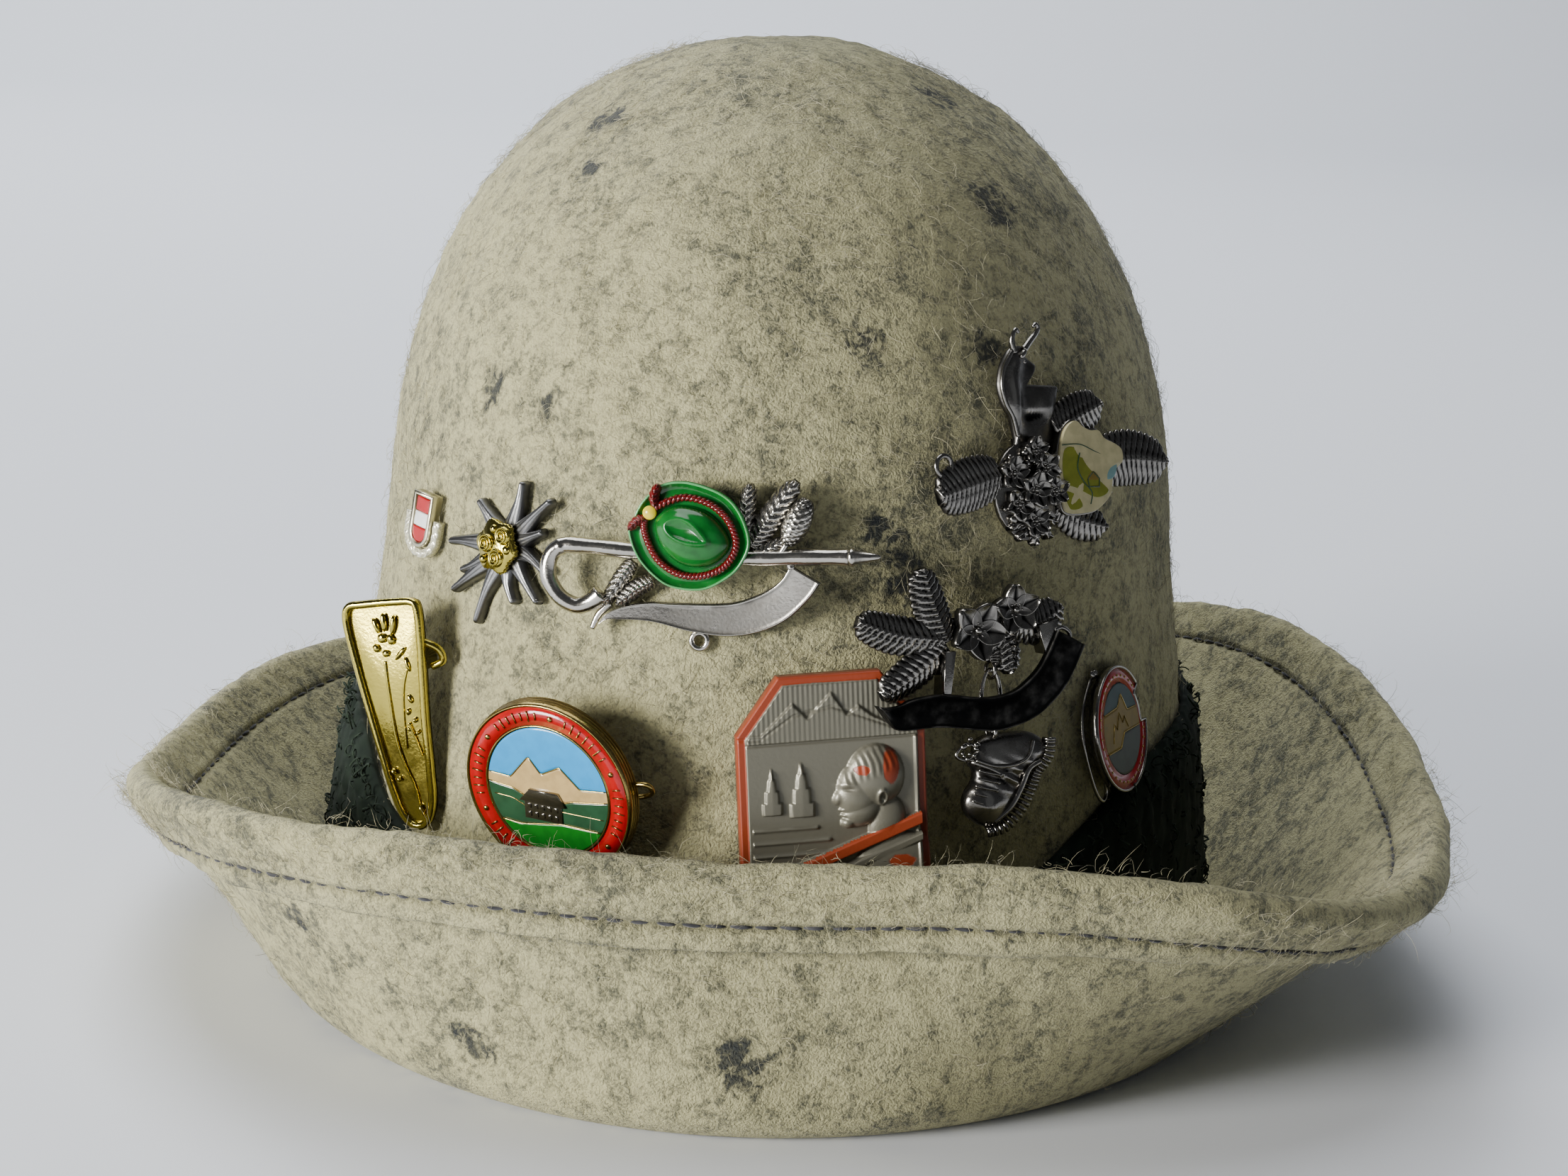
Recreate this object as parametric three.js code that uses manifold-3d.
import * as THREE from 'three';
import { mergeVertices } from 'three/addons/utils/BufferGeometryUtils.js';
import Module from 'manifold-3d';

// A green-banded felt hat of the alpine kind with nine collected hat pins.
// Lengths are millimetres and angles are degrees. Z is up, the hat rests on Z = 0,
// -Y is the side that carries the pins and +X is on the right when that side is seen.

const wasm = await Module();
wasm.setup();

// Felt body
const felt = 3.5;
const baseHalfWidth = 82.5;
const baseHalfLength = 102.1;
const ovalTurn = -9.4;
const crownRise = 164;
const crownDriftX = -4.44;
const crownDriftY = -0.31;
const foldRadius = 7.3;
const restFlat = 0.25;
const brimWidth = 52;
const hemWidth = 13.5;
const hemThickness = 3.2;
const hemEdgeSlope = 0.6;
const columns = 56;

// Band
const bandThickness = 3.2;
const bandFoot = 13;
const bandTop = 52;

// Clearance between neighbouring pieces
const gap = 0.35;

// Stripe badge
const stripeHalfWidth = 2.7;
const stripeTop = 5.4;
const stripeFootCentre = -1.6;
const stripeWreathWidth = 1.5;
const stripeWreathTop = 1.2;
const stripeThickness = 2.2;
const stripeFloor = 1.2;
const stripeRim = 1;

// Edelweiss
const edelweissReach = 14;
const petalHalfWidth = 2.3;
const petalThickness = 1.4;
const cushionRadius = 4.6;
const cushionRise = 1.6;
const beadRadius = 1.65;

// Walking stick pin
const caneReach = 30.6;
const caneRodRadius = 1.35;
const caneThickness = 1.3;
const caneHatWidth = 20;
const caneHatRise = 3.4;
const caneBrimThickness = 0.9;
const caneCordRadius = 0.6;
const caneKnotRadius = 0.85;

// Gold pin
const goldHeight = 41;
const goldThickness = 2;
const goldFloor = 1.2;
const goldRim = 1;

// Round badge
const roundRadius = 15.9;
const roundThickness = 3;
const roundFloor = 1.8;
const roundOuterRim = 0.7;
const roundRingWidth = 3.2;
const roundInnerRim = 0.5;

// Plaque
const plaqueHalfWidth = 15.8;
const plaqueTop = 17.2;
const plaqueFoot = -18;
const plaqueClipWidth = 7.2;
const plaqueClipHeight = 9.5;
const plaqueThickness = 2.6;
const plaqueRelief = 0.7;

// Chamois brooch
const chamoisReach = 31.5;
const chamoisBack = 1.2;
const chamoisThickness = 1.1;
const shieldThickness = 1.2;

// Twig brooch with its boot
const twigReach = 22.5;
const twigBack = 1.6;
const twigThickness = 1;
const twigRibbonLow = 4.3;
const twigRibbonThickness = 1.2;
const bootThickness = 2.6;
const ringX = 6;
const ringTop = -2.6;
const ringFoot = -12.9;
const ringHalfWidth = 1.9;
const ringWire = 0.4;
const eyeRadius = 1.4;
const eyeWire = 0.35;

// Side badge
const sideRadius = 11.2;
const sideThickness = 1.6;
const sideFloor = 0.6;
const sideRim = 0.4;
const sideRingWidth = 2.6;
const notchFrom = -2;
const notchTo = 34;

// Radius of the crown as a share of the base oval, at shares of the crown's rise
const crownRows = [
  { height: 0, radius: 1 },
  { height: 0.22, radius: 0.948 },
  { height: 0.44, radius: 0.893 },
  { height: 0.6, radius: 0.858 },
  { height: 0.72, radius: 0.789 },
  { height: 0.82, radius: 0.683 },
  { height: 0.9, radius: 0.541 },
  { height: 0.96, radius: 0.362 },
  { height: 0.99, radius: 0.193 },
  { height: 1, radius: 0 },
];

// Slope of the brim in degrees above level, and its width as a share of brimWidth
const brimRows = [
  { bearing: -180, slope: 44.9, width: 0.831 },
  { bearing: -135, slope: 62.7, width: 1.006 },
  { bearing: -90, slope: 92.7, width: 0.992 },
  { bearing: -45, slope: 44.4, width: 1.135 },
  { bearing: 0, slope: 52.4, width: 1.06 },
  { bearing: 45, slope: 53.9, width: 1.173 },
  { bearing: 90, slope: 19.8, width: 0.996 },
  { bearing: 135, slope: 38.5, width: 0.94 },
];

// Upper edge of the band above the table, as a share of bandTop
const bandRows = [
  { bearing: -180, top: 0.94 },
  { bearing: -153, top: 0.9 },
  { bearing: -138, top: 0.72 },
  { bearing: -118, top: 0.63 },
  { bearing: -90, top: 0.62 },
  { bearing: -62, top: 0.7 },
  { bearing: -50, top: 0.84 },
  { bearing: -38, top: 0.95 },
  { bearing: -15, top: 1 },
  { bearing: 45, top: 1.02 },
  { bearing: 135, top: 1 },
];

const radians = THREE.MathUtils.degToRad;
const degrees = THREE.MathUtils.radToDeg;
const up = new THREE.Vector3(0, 0, 1);
const foldCentreHeight = foldRadius + felt / 2 - restFlat;
const crownTop = foldCentreHeight + crownRise;

// Smooth reading of a table round the hat, by a cubic through the rows
function around(rows, key, bearing) {
  const count = rows.length;
  const turn = ((bearing + 180) % 360 + 360) % 360 - 180;
  let low = count - 1;
  for (let i = 0; i < count; i += 1) {
    if (rows[i].bearing <= turn) low = i;
  }
  const row = (k) => {
    const index = low + k;
    const wrap = Math.floor(index / count);
    const source = rows[index - wrap * count];
    return { at: source.bearing + 360 * wrap, value: source[key] };
  };
  const [a, b, c, d] = [row(-1), row(0), row(1), row(2)];
  const span = c.at - b.at;
  const t = (turn - b.at) / span;
  const slopeB = ((c.value - a.value) / (c.at - a.at)) * span;
  const slopeC = ((d.value - b.value) / (d.at - b.at)) * span;
  const t2 = t * t;
  const t3 = t2 * t;
  return (2 * t3 - 3 * t2 + 1) * b.value + (t3 - 2 * t2 + t) * slopeB
    + (3 * t2 - 2 * t3) * c.value + (t3 - t2) * slopeC;
}

const crownKnots = crownRows.map((row) => new THREE.Vector2(row.radius, row.height));
const crownLine = new THREE.SplineCurve(crownKnots).getPoints(160);

function crownShare(height) {
  const last = crownLine.length - 1;
  let i = 0;
  while (i < last - 1 && crownLine[i + 1].y < height) i += 1;
  const a = crownLine[i];
  const b = crownLine[i + 1];
  const t = THREE.MathUtils.clamp((height - a.y) / (b.y - a.y), 0, 1);
  return THREE.MathUtils.lerp(a.x, b.x, t);
}

function ovalPoint(angle) {
  const point = new THREE.Vector3(baseHalfWidth * Math.cos(angle), baseHalfLength * Math.sin(angle), 0);
  return point.applyAxisAngle(up, radians(ovalTurn));
}

function ovalNormal(angle) {
  const normal = new THREE.Vector3(Math.cos(angle) / baseHalfWidth, Math.sin(angle) / baseHalfLength, 0);
  return normal.normalize().applyAxisAngle(up, radians(ovalTurn));
}

function ovalBearing(angle) {
  const point = ovalPoint(angle);
  return degrees(Math.atan2(point.y, point.x));
}

function angleAtBearing(bearing) {
  const local = radians(bearing - ovalTurn);
  return Math.atan2(Math.sin(local) / baseHalfLength, Math.cos(local) / baseHalfWidth);
}

// Outer face of the crown, at a share of the crown's rise
function crownPoint(angle, height) {
  const point = ovalPoint(angle).multiplyScalar(crownShare(height));
  point.x += crownDriftX * height * height;
  point.y += crownDriftY * height * height;
  point.z = foldCentreHeight + crownRise * height;
  return point;
}

function crownNormal(angle, height) {
  const turn = 0.01;
  const lift = 0.004;
  const low = Math.max(height - lift, 0);
  const high = Math.min(height + lift, 1 - lift);
  const along = crownPoint(angle + turn, height).sub(crownPoint(angle - turn, height));
  const rise = crownPoint(angle, high).sub(crownPoint(angle, low));
  return along.cross(rise).normalize();
}

// Point off the crown's outer face by a distance along its normal, at a height above the table
function wallPoint(angle, z, offset) {
  const height = (z - foldCentreHeight) / crownRise;
  return crownPoint(angle, height).addScaledVector(crownNormal(angle, height), offset);
}

// Closed surface through rows of points. A row of one point is a pole.
function skin(rows, loop) {
  const positions = [];
  const starts = rows.map((row) => {
    const start = positions.length / 3;
    row.forEach((point) => positions.push(point.x, point.y, point.z));
    return start;
  });
  const index = [];
  const rings = loop ? rows.length : rows.length - 1;
  for (let i = 0; i < rings; i += 1) {
    const j = (i + 1) % rows.length;
    const count = Math.max(rows[i].length, rows[j].length);
    for (let k = 0; k < count; k += 1) {
      const next = (k + 1) % count;
      const a = starts[i] + (rows[i].length > 1 ? k : 0);
      const b = starts[i] + (rows[i].length > 1 ? next : 0);
      const c = starts[j] + (rows[j].length > 1 ? k : 0);
      const d = starts[j] + (rows[j].length > 1 ? next : 0);
      if (a !== b) index.push(a, b, d);
      if (c !== d) index.push(a, d, c);
    }
  }
  const geometry = new THREE.BufferGeometry();
  geometry.setAttribute('position', new THREE.Float32BufferAttribute(positions, 3));
  geometry.setIndex(signedVolume(positions, index) < 0 ? index.reverse() : index);
  return geometry;
}

function signedVolume(positions, index) {
  const point = (i) => new THREE.Vector3().fromArray(positions, 3 * index[i]);
  let sum = 0;
  for (let i = 0; i < index.length; i += 3) {
    sum += point(i).dot(point(i + 1).cross(point(i + 2)));
  }
  return sum / 6;
}

const angles = Array.from({ length: columns }, (_, k) => (2 * Math.PI * k) / columns);
const crownLevels = [0, 0.12, 0.24, 0.36, 0.48, 0.58, 0.66, 0.74, 0.81, 0.87, 0.92, 0.96, 0.985];
const bendSteps = 5;
const rimSteps = 3;

// Section of the brim at one station: fold, turned-up brim and hem, as distances out from
// the foot of the crown wall and heights above the table.
function brimSection(angle) {
  const bearing = ovalBearing(angle);
  const slope = radians(around(brimRows, 'slope', bearing));
  const width = brimWidth * around(brimRows, 'width', bearing);
  const centre = new THREE.Vector2(foldRadius - felt / 2, foldCentreHeight);
  const straight = width - foldRadius * slope;
  const along = new THREE.Vector2(Math.cos(slope), Math.sin(slope));
  const under = new THREE.Vector2(Math.sin(slope), -Math.cos(slope));
  const innerBend = foldRadius - felt / 2;
  const outerBend = foldRadius + felt / 2;
  const on = (distance, offset) => centre.clone().addScaledVector(along, distance)
    .addScaledVector(under, offset);
  const bend = (radius, turn) => new THREE.Vector2(
    centre.x - radius * Math.cos(turn),
    Math.max(0, centre.y - radius * Math.sin(turn)),
  );
  const sweep = Math.PI / 2 + slope;
  const points = [];
  for (let i = 1; i <= bendSteps; i += 1) points.push(bend(innerBend, (sweep * i) / bendSteps));
  const rimRadius = (felt + hemThickness) / 2;
  points.push(on(straight * 0.45, innerBend));
  const rimStart = straight - rimRadius;
  points.push(on(rimStart, innerBend));
  for (let i = 1; i < rimSteps; i += 1) {
    const turn = (Math.PI * i) / rimSteps;
    points.push(on(rimStart + rimRadius * Math.sin(turn), innerBend + rimRadius * (1 - Math.cos(turn))));
  }
  points.push(on(rimStart, outerBend + hemThickness));
  points.push(on(straight - hemWidth, outerBend + hemThickness));
  points.push(on(straight - hemWidth - hemEdgeSlope, outerBend));
  points.push(on((straight - hemWidth) * 0.5, outerBend));
  const flatHalf = Math.acos(1 - restFlat / outerBend);
  const flatEnd = Math.PI / 2 + flatHalf;
  const flatStart = Math.PI / 2 - flatHalf;
  for (let i = 0; i < 3; i += 1) points.push(bend(outerBend, sweep - ((sweep - flatEnd) * i) / 3));
  points.push(bend(outerBend, flatEnd));
  points.push(bend(outerBend, flatStart));
  for (let i = 2; i >= 0; i -= 1) points.push(bend(outerBend, (flatStart * i) / 3));
  return points;
}

function feltBody() {
  const rows = [[new THREE.Vector3(crownDriftX, crownDriftY, crownTop)]];
  const outer = [...crownLevels].reverse().map((level) => angles.map((angle) => crownPoint(angle, level)));
  rows.push(...outer);
  const sections = angles.map((angle) => brimSection(angle));
  for (let k = 0; k < sections[0].length; k += 1) {
    rows.push(angles.map((angle, j) => {
      const out = sections[j][k].x;
      const point = ovalPoint(angle).addScaledVector(ovalNormal(angle), out);
      point.z = sections[j][k].y;
      return point;
    }));
  }
  for (const level of crownLevels.slice(1)) {
    rows.push(angles.map((angle) => {
      return crownPoint(angle, level).addScaledVector(crownNormal(angle, level), -felt);
    }));
  }
  rows.push([new THREE.Vector3(crownDriftX, crownDriftY, crownTop - felt)]);
  return skin(rows, false);
}

// Ring round the crown. Its thickness and height may grow by a clearance.
const bandSection = [
  { height: 0, bulge: 0 },
  { height: 0.33, bulge: 0 },
  { height: 0.66, bulge: 0 },
  { height: 1, bulge: 0 },
  { height: 1, bulge: 0.6 },
  { height: 0.93, bulge: 0.92 },
  { height: 0.7, bulge: 1 },
  { height: 0.3, bulge: 1 },
  { height: 0.07, bulge: 0.9 },
  { height: 0, bulge: 0.6 },
];

function bandPoint(angle, row, inner, grow) {
  const top = bandTop * around(bandRows, 'top', ovalBearing(angle)) + grow;
  const z = THREE.MathUtils.lerp(bandFoot, top, row.height);
  return wallPoint(angle, z, inner + (bandThickness + grow) * row.bulge);
}

function bandRing(inner, grow) {
  return skin(bandSection.map((row) => angles.map((angle) => bandPoint(angle, row, inner, grow))), true);
}

// Solids that join and cut
function toSolid(geometry) {
  const copy = geometry.clone();
  copy.deleteAttribute('normal');
  copy.deleteAttribute('uv');
  const merged = mergeVertices(copy, 1e-4);
  const source = merged.index.array;
  const triangles = [];
  for (let i = 0; i < source.length; i += 3) {
    const [a, b, c] = [source[i], source[i + 1], source[i + 2]];
    if (a !== b && b !== c && c !== a) triangles.push(a, b, c);
  }
  return new wasm.Manifold(new wasm.Mesh({
    numProp: 3,
    vertProperties: new Float32Array(merged.attributes.position.array),
    triVerts: new Uint32Array(triangles),
  }));
}

function toGeometry(solid) {
  const mesh = solid.getMesh();
  const geometry = new THREE.BufferGeometry();
  geometry.setAttribute('position', new THREE.BufferAttribute(mesh.vertProperties, 3));
  geometry.setIndex(new THREE.BufferAttribute(mesh.triVerts, 1));
  return geometry;
}

function fuse(...geometries) {
  return toGeometry(geometries.map(toSolid).reduce((sum, solid) => sum.add(solid)));
}

function cut(geometry, ...tools) {
  return toGeometry(tools.map(toSolid).reduce((rest, tool) => rest.subtract(tool), toSolid(geometry)));
}

function common(a, b) {
  return toGeometry(toSolid(a).intersect(toSolid(b)));
}

// The space that the felt wall and the band take up, with their clearance
const keepOutRows = [[new THREE.Vector3(0, 0, 0)]];
keepOutRows.push(angles.map((angle) => wallPoint(angle, foldCentreHeight, gap).setZ(0)));
for (const level of crownLevels) {
  keepOutRows.push(angles.map((angle) => {
    return crownPoint(angle, level).addScaledVector(crownNormal(angle, level), gap);
  }));
}
keepOutRows.push([new THREE.Vector3(crownDriftX, crownDriftY, crownTop + gap)]);
const keepOut = toSolid(skin(keepOutRows, false)).add(toSolid(bandRing(-felt / 2, gap + felt / 2 + gap)));

// Points of the wall and the band that a pin may not reach
const seatSamples = [];
for (let bearing = -180; bearing < 0; bearing += 1) {
  const angle = angleAtBearing(bearing);
  for (let level = 0; level < 0.86; level += 0.006) seatSamples.push(crownPoint(angle, level));
  for (const row of bandSection.slice(4, 8)) seatSamples.push(bandPoint(angle, row, gap, 0));
}

// Half width of a pin's outline at a height in its own frame, for the shapes that pins have
const boxed = (halfWidth, halfHeight) => (y) => (Math.abs(y) < halfHeight ? halfWidth : 0);
const rounded = (radius) => (y) => Math.sqrt(Math.max(radius * radius - y * y, 0));
const tapered = (halfHeight, foot, top) => (y) => {
  return Math.abs(y) < halfHeight ? THREE.MathUtils.mapLinear(y, -halfHeight, halfHeight, foot, top) : 0;
};

// Frame of a pin: X to its right, Y up and Z out of the hat, with its origin on the pin's
// back. The back stands as close as the wall and the band under its outline allow.
function seat({ bearing, rise, yaw = 0, tilt = 0, roll = 0, halfWidthAt, stand = gap }) {
  const angle = angleAtBearing(bearing);
  const anchor = crownPoint(angle, rise);
  const wall = crownNormal(angle, rise);
  const facing = Math.atan2(wall.y, wall.x) + radians(yaw);
  const lift = Math.asin(wall.z) + radians(tilt);
  const out = new THREE.Vector3(Math.cos(lift) * Math.cos(facing), Math.cos(lift) * Math.sin(facing),
    Math.sin(lift));
  const right = up.clone().cross(out).normalize().applyAxisAngle(out, radians(roll));
  const high = out.clone().cross(right);
  let reach = 0;
  for (const sample of seatSamples) {
    const from = sample.clone().sub(anchor);
    const inside = Math.abs(from.dot(right)) < halfWidthAt(from.dot(high));
    if (inside) reach = Math.max(reach, from.dot(out));
  }
  const origin = anchor.addScaledVector(out, reach + stand);
  return new THREE.Matrix4().makeBasis(right, high, out).setPosition(origin);
}

// Bar on the back of a pin that reaches to the felt, where the pin's own catch sits
function backBar(frame, { halfLength, halfHeight, x = 0, y = 0, depth, from = 0 }) {
  const bar = new THREE.BoxGeometry(2 * halfLength, 2 * halfHeight, depth);
  bar.translate(x, y, from + gap - depth / 2);
  bar.applyMatrix4(frame);
  const trimmed = toGeometry(toSolid(bar).subtract(keepOut));
  return largestPiece(trimmed).applyMatrix4(frame.clone().invert());
}

function largestPiece(geometry) {
  const pieces = toSolid(geometry).decompose();
  return toGeometry(pieces.reduce((best, piece) => (piece.volume() > best.volume() ? piece : best)));
}

// Flat and rounded building shapes in a pin's own frame
const roundSteps = 11;

function plate(shape, low, high, segments = 8) {
  const options = { depth: high - low, bevelEnabled: false, curveSegments: segments };
  return new THREE.ExtrudeGeometry(shape, options).translate(0, 0, low);
}

function disc(radius, low, high, segments = 12, x = 0, y = 0) {
  return plate(new THREE.Shape().absarc(x, y, radius, 0, 2 * Math.PI), low, high, segments);
}

function annulus(inner, outer, low, high, segments = 12, x = 0, y = 0) {
  const shape = new THREE.Shape().absarc(x, y, outer, 0, 2 * Math.PI);
  shape.holes.push(new THREE.Path().absarc(x, y, inner, 0, 2 * Math.PI));
  return plate(shape, low, high, segments);
}

function polygon(points) {
  return new THREE.Shape(points.map(([x, y]) => new THREE.Vector2(x, y)));
}

function dome(halfWidth, halfHeight, rise, x, y, low, sides = 10, turn = 0) {
  const steps = 3;
  const profile = [];
  for (let i = 0; i <= steps; i += 1) {
    const t = (Math.PI / 2) * (i / steps);
    profile.push(new THREE.Vector2(Math.cos(t), Math.sin(t)));
  }
  profile[steps].x = 0;
  const geometry = new THREE.LatheGeometry([new THREE.Vector2(0, 0), ...profile], sides);
  geometry.rotateX(Math.PI / 2);
  return geometry.scale(halfWidth, halfHeight, rise).rotateZ(radians(turn)).translate(x, y, low);
}

function wire(points, radius, sides = 6, steps = 16, closed = false) {
  const knots = points.map(([x, y, z]) => new THREE.Vector3(x, y, z));
  const path = new THREE.CatmullRomCurve3(knots, closed);
  const section = [];
  for (let i = 0; i < sides; i += 1) {
    const t = (2 * Math.PI * i) / sides;
    section.push(new THREE.Vector2(radius * Math.cos(t), radius * Math.sin(t)));
  }
  return new THREE.ExtrudeGeometry(new THREE.Shape(section), { steps, extrudePath: path });
}

// Fir twig from a root to a tip: a leaf outline with needle tips and a raised spine
const needles = 4;

function twig(row, size, low, thickness) {
  const [x0, y0, x1, y1] = [row.fromX, row.fromY, row.toX, row.toY].map((share) => share * size);
  const length = Math.hypot(x1 - x0, y1 - y0);
  const edge = [];
  for (let i = 0; i <= 2 * needles; i += 1) {
    const t = i / (2 * needles);
    const swell = 0.35 + 0.65 * Math.sin(Math.PI * Math.min(1, 0.12 + 0.86 * t)) ** 0.6;
    const tooth = i % 2 === 0 ? 0.84 : 1;
    edge.push([length * t, (row.width * size / 2) * swell * tooth]);
  }
  const line = (z, spreadOut) => [...edge, ...edge.map(([x, y]) => [x, -y]).reverse()]
    .map(([x, y]) => new THREE.Vector3(x, y * spreadOut, z));
  const rows = [line(low, 0), line(low, 1), line(low + thickness, 1), line(low + 1.8 * thickness, 0)];
  return skin(rows, false).rotateZ(Math.atan2(y1 - y0, x1 - x0)).translate(x0, y0, 0);
}

// Strip with a given upper and lower edge
function strip(upper, lower, low, high) {
  const smooth = (points) => {
    return new THREE.SplineCurve(points.map(([x, y]) => new THREE.Vector2(x, y))).getPoints(10);
  };
  return plate(new THREE.Shape([...smooth(upper), ...smooth(lower).reverse()]), low, high);
}

// Upright block between two widths, heights and levels
function block(left, right, foot, top, low, high) {
  return plate(polygon([[left, foot], [right, foot], [right, top], [left, top]]), low, high);
}

// Straight bar between two points, with a half width as a share of the size
function straightBar(row, size, half, low, high) {
  const [x0, y0, x1, y1] = [row.fromX, row.fromY, row.toX, row.toY].map((share) => share * size);
  const length = Math.hypot(x1 - x0, y1 - y0);
  const [sideX, sideY] = [(y1 - y0) * half * size / length, (x0 - x1) * half * size / length];
  return plate(polygon([[x0 + sideX, y0 + sideY], [x1 + sideX, y1 + sideY], [x1 - sideX, y1 - sideY],
    [x0 - sideX, y0 - sideY]]), low, high);
}

// Points of a table of shares, and a smooth closed line through them
function spread(rows, size) {
  return rows.map((row) => [row.x * size, row.y * size]);
}

function outline(rows, size, count) {
  const knots = spread(rows, size).map(([x, y]) => new THREE.Vector3(x, y, 0));
  const line = new THREE.CatmullRomCurve3(knots, true).getPoints(count).slice(0, count);
  return line.map((point) => [point.x, point.y]);
}

// Closed line moved inwards, or outwards by a negative amount
function insetLine(points, amount) {
  const count = points.length;
  const before = (k) => points[(k + count - 1) % count];
  const after = (k) => points[(k + 1) % count];
  const area = points.reduce((sum, [x, y], k) => sum + x * after(k)[1] - after(k)[0] * y, 0);
  const inward = Math.sign(area) * amount;
  return points.map(([x, y], k) => {
    const [wayX, wayY] = [after(k)[0] - before(k)[0], after(k)[1] - before(k)[1]];
    const length = Math.hypot(wayX, wayY);
    return [x - (wayY / length) * inward, y + (wayX / length) * inward];
  });
}

// Low dome over a closed line: rings drawn in towards the middle
const moundRings = [{ share: 1, rise: 0 }, { share: 0.87, rise: 0.5 }, { share: 0.55, rise: 0.84 }];

function mound(points, low, rise, [x, y]) {
  const rows = [[new THREE.Vector3(x, y, low)]];
  for (const ring of moundRings) {
    rows.push(points.map(([px, py]) => new THREE.Vector3(x + (px - x) * ring.share, y + (py - y) * ring.share,
      low + rise * ring.rise)));
  }
  rows.push([new THREE.Vector3(x, y, low + rise)]);
  return skin(rows, false);
}

const finish = (color, roughness, metalness) => ({ color, roughness, metalness });
const finishes = {
  felt: finish(0xb3ae9d, 0.95, 0),
  band: finish(0x2f3a30, 1, 0),
  silver: finish(0xa6a6a8, 0.3, 0.95),
  darkSilver: finish(0x59585a, 0.35, 0.9),
  gold: finish(0xb8a04a, 0.25, 0.95),
  brass: finish(0x97803f, 0.4, 0.9),
  redEnamel: finish(0xbf1920, 0.2, 0),
  whiteEnamel: finish(0xe6e9e6, 0.25, 0),
  paleGlitter: finish(0xd8d8b8, 0.4, 0.3),
  greenEnamel: finish(0x12682a, 0.2, 0),
  cordRed: finish(0x7c2022, 0.45, 0),
  yellowEnamel: finish(0xe6d01c, 0.25, 0),
  skyEnamel: finish(0x3ea8da, 0.2, 0),
  hillEnamel: finish(0x2a4a34, 0.2, 0),
  peakEnamel: finish(0xc2a874, 0.25, 0),
  meadowEnamel: finish(0x165c1b, 0.2, 0),
  orangePlastic: finish(0x8f4a30, 0.45, 0.2),
  ochreEnamel: finish(0xa88a2a, 0.3, 0),
  tealEnamel: finish(0x2c5a57, 0.3, 0),
  greyEnamel: finish(0x7d7f76, 0.3, 0),
  creamEnamel: finish(0xd9d3a2, 0.3, 0),
};

function named(name, geometry, look) {
  const mesh = new THREE.Mesh(geometry, new THREE.MeshStandardMaterial(look));
  mesh.name = name;
  return mesh;
}

function pin(frame, ...meshes) {
  const group = new THREE.Group();
  frame.decompose(group.position, group.quaternion, group.scale);
  group.add(...meshes);
  return group;
}

// Closed round bar through a loop of points
function ringAlong(points, radius, sides) {
  const count = points.length;
  const rows = Array.from({ length: sides }, (_, s) => points.map((point, k) => {
    const before = points[(k + count - 1) % count];
    const after = points[(k + 1) % count];
    const side = after.clone().sub(before).cross(up).normalize();
    const t = (2 * Math.PI * s) / sides;
    return point.clone().addScaledVector(side, radius * Math.cos(t)).addScaledVector(up, radius * Math.sin(t));
  }));
  return skin(rows, true);
}

// Small ring whose hole runs along X, as an eye that a wire passes through
function eye(x, y, z, radius, wireRadius) {
  const ring = new THREE.TorusGeometry(radius, wireRadius, 5, 8);
  return ring.rotateY(Math.PI / 2).translate(x, y, z);
}

// Small shield badge with three enamel fields and a pale wreath round its foot
function stripeBadge() {
  const frame = seat({
    bearing: -137.4,
    rise: 0.49,
    yaw: 14,
    roll: -6,
    halfWidthAt: boxed(stripeHalfWidth + stripeWreathWidth + 1, stripeTop + 1.5),
  });
  const shield = (half, high) => new THREE.Shape().moveTo(half, high).lineTo(-half, high)
    .lineTo(-half, stripeFootCentre).absarc(0, stripeFootCentre, half, Math.PI, 2 * Math.PI);
  const pocketHalf = stripeHalfWidth - stripeRim;
  const pocketTop = stripeTop - stripeRim * 0.7;
  const body = cut(plate(shield(stripeHalfWidth, stripeTop), 0, stripeThickness, 5),
    plate(shield(pocketHalf, pocketTop), stripeFloor, stripeThickness + 1, 5));
  const fieldHalf = pocketHalf - gap;
  const field = plate(shield(fieldHalf, pocketTop - gap), stripeFloor + gap, stripeThickness, 5);
  const fieldFoot = stripeFootCentre - fieldHalf;
  const fieldHeight = (pocketTop - gap - fieldFoot) / 3;
  const slice = (k) => {
    const low = fieldFoot + k * fieldHeight + (k > 0 ? gap / 2 : -1);
    const high = fieldFoot + (k + 1) * fieldHeight - (k < 2 ? gap / 2 : -1);
    return common(field, block(-stripeHalfWidth, stripeHalfWidth, low, high, 0, stripeThickness + 1));
  };
  const inner = stripeHalfWidth + gap;
  const outer = inner + stripeWreathWidth;
  const wreath = new THREE.Shape().moveTo(-inner, stripeWreathTop).lineTo(-outer, stripeWreathTop)
    .lineTo(-outer, stripeFootCentre).absarc(0, stripeFootCentre, outer, Math.PI, 2 * Math.PI)
    .lineTo(outer, stripeWreathTop).lineTo(inner, stripeWreathTop).lineTo(inner, stripeFootCentre)
    .absarc(0, stripeFootCentre, inner, 2 * Math.PI, Math.PI, true);
  const post = backBar(frame, { halfLength: 1, halfHeight: 1, depth: 6 });
  return pin(frame,
    named('stripe_badge_body', fuse(body, post), finishes.paleGlitter),
    named('stripe_badge_wreath', plate(wreath, 0.2, stripeThickness - gap, 6), finishes.paleGlitter),
    named('stripe_badge_field_lower', slice(0), finishes.redEnamel),
    named('stripe_badge_field_middle', slice(1), finishes.whiteEnamel),
    named('stripe_badge_field_upper', slice(2), finishes.redEnamel));
}

// Middle of the edelweiss, as a share of its reach
const edelweissMiddle = { x: 0.086, y: 0.014 };

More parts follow.
